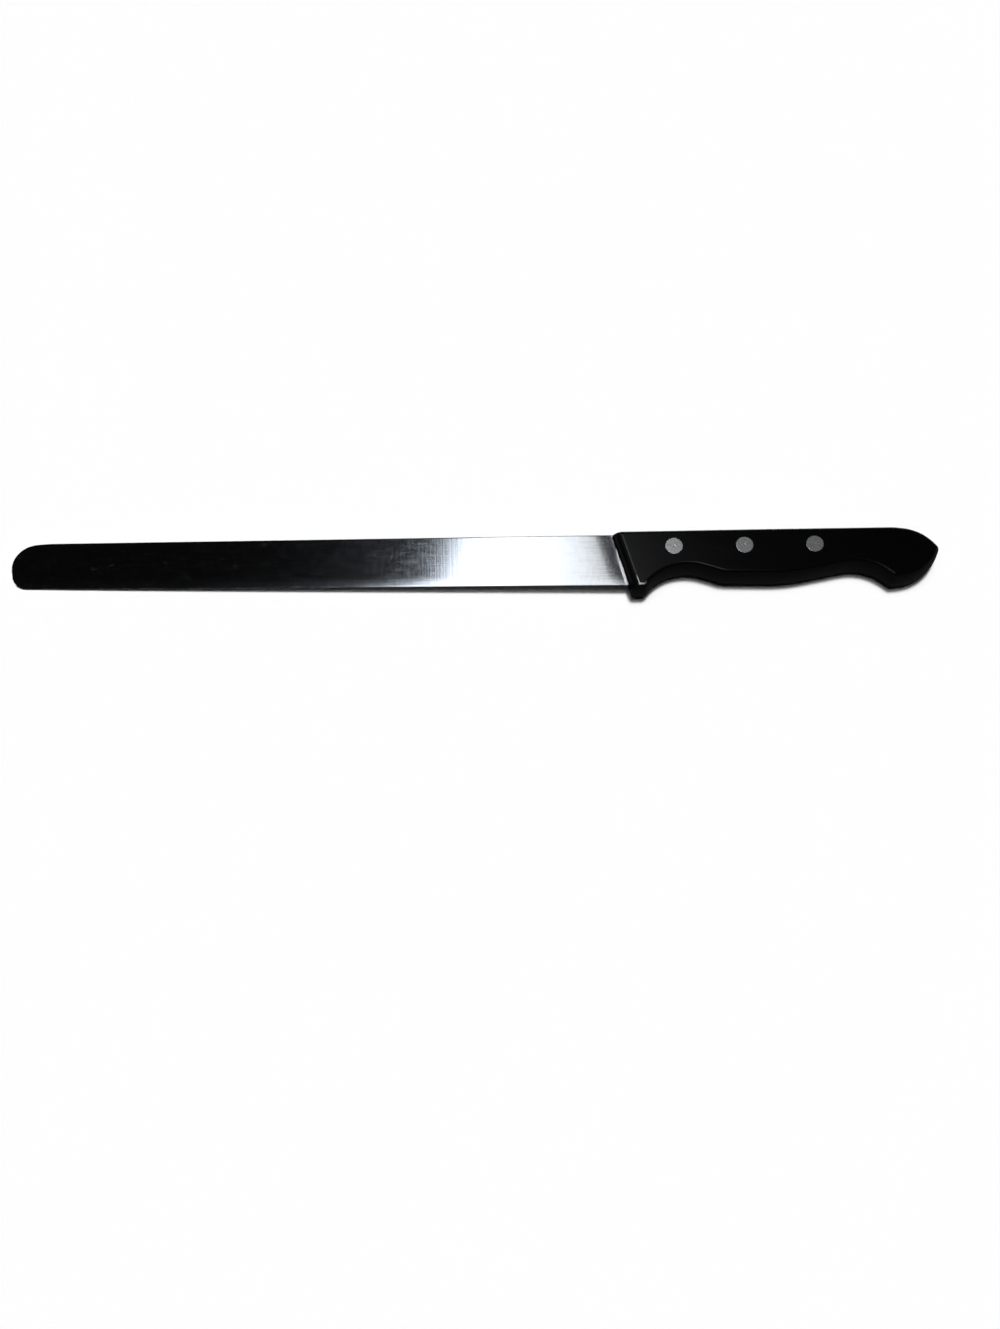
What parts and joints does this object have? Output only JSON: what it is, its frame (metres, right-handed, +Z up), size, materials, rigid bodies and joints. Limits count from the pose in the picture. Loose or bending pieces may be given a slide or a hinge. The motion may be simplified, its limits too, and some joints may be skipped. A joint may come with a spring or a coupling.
{
  "type": "carving knife",
  "caption": "Slicing and carving knife with a long narrow round-nosed blade and a black riveted handle with a finger guard and a pointed butt.",
  "frame": {"origin": "centre of the knife's box at its base, on the plane that the handle's flat side lies on", "axes": "+X from the nose of the blade to the butt of the handle, +Y from the cutting edge to the spine, +Z up through the thickness of the handle, so the knife lies on its side"},
  "size_m": [0.393, 0.0274, 0.015],
  "materials": {
    "blade_steel": "satin ground stainless steel with fine lines across the blade",
    "handle_black": "black moulded acetal, satin",
    "rivet_aluminium": "ground flush, fine grain"
  },
  "bodies": {
    "root": {"blade": "blade_steel", "left_scale": "handle_black", "right_scale": "handle_black", "front_rivet_post": "rivet_aluminium", "front_rivet_sleeve": "rivet_aluminium", "middle_rivet_post": "rivet_aluminium", "middle_rivet_sleeve": "rivet_aluminium", "rear_rivet_post": "rivet_aluminium", "rear_rivet_sleeve": "rivet_aluminium"}
  },
  "joints": []
}
